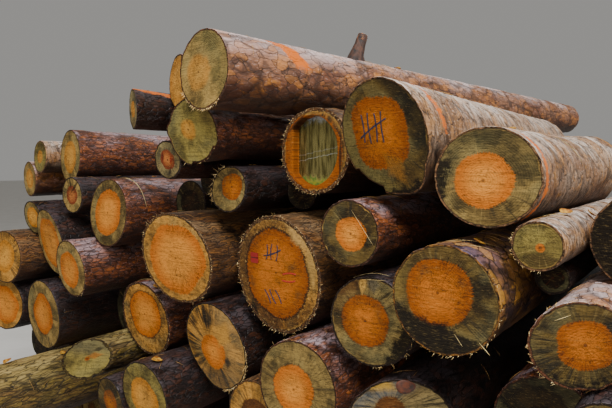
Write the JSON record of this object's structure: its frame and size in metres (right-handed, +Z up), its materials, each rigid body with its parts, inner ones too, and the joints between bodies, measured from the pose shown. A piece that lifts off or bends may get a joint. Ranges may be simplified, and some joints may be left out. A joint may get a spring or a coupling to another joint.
{
  "type": "stack of logs",
  "caption": "Stack of sawn pine logs lying loose on each other, sawn ends in front, with a skewed long log, a short log and a flared butt on top.",
  "frame": {"origin": "On the ground under the middle of the stack: the bottom centre of its bounding box.", "axes": "+X runs across the stack, its longest extent, from the left to the right seen from the sawn ends in front. +Y runs along the logs, from the sawn ends to the back. +Z is up, its shortest extent."},
  "size_m": [4.1374, 3.8, 2.2403],
  "materials": {
    "pine_log": "rough bark with sawn, weathered ends",
    "mirror_pane": "polished",
    "tag_plastic": "matte"
  },
  "bodies": {
    "root": {"bottom_row": "pine_log", "flared_butt_log": "pine_log", "front_log_01": "pine_log", "front_log_02": "pine_log", "front_log_03": "pine_log", "front_log_04": "pine_log", "front_log_05": "pine_log", "front_log_06": "pine_log", "front_log_07": "pine_log", "front_log_08": "pine_log", "front_log_09": "pine_log", "front_log_10": "pine_log", "front_log_11": "pine_log", "front_log_12": "pine_log", "front_log_13": "pine_log", "front_log_14": "pine_log", "front_log_15": "pine_log", "front_log_16": "pine_log", "front_log_17": "pine_log", "front_log_18": "pine_log", "front_log_19": "pine_log", "front_log_20": "pine_log", "front_log_21": "pine_log", "front_log_22": "pine_log", "front_log_23": "pine_log", "front_log_24": "pine_log", "front_log_25": "pine_log", "front_log_26": "pine_log", "front_log_27": "pine_log", "front_log_28": "pine_log", "front_log_29": "pine_log", "hollow_log": "pine_log", "inner_log_01": "pine_log", "inner_log_02": "pine_log", "inner_log_03": "pine_log", "inner_log_04": "pine_log", "inner_log_05": "pine_log", "inner_log_06": "pine_log", "inner_log_07": "pine_log", "inner_log_08": "pine_log", "inner_log_09": "pine_log", "inner_log_10": "pine_log", "inner_log_11": "pine_log", "inner_log_12": "pine_log", "inner_log_13": "pine_log", "inner_log_14": "pine_log", "inner_log_15": "pine_log", "inner_log_16": "pine_log", "inner_log_17": "pine_log", "inner_log_18": "pine_log", "jutting_log": "pine_log", "long_top_log": "pine_log", "mirror_pane": "mirror_pane", "number_tag": "tag_plastic", "short_top_log": "pine_log", "slant_cut_log": "pine_log", "small_inner_logs": "pine_log", "tagged_log": "pine_log", "teardrop_log": "pine_log"}
  },
  "joints": []
}
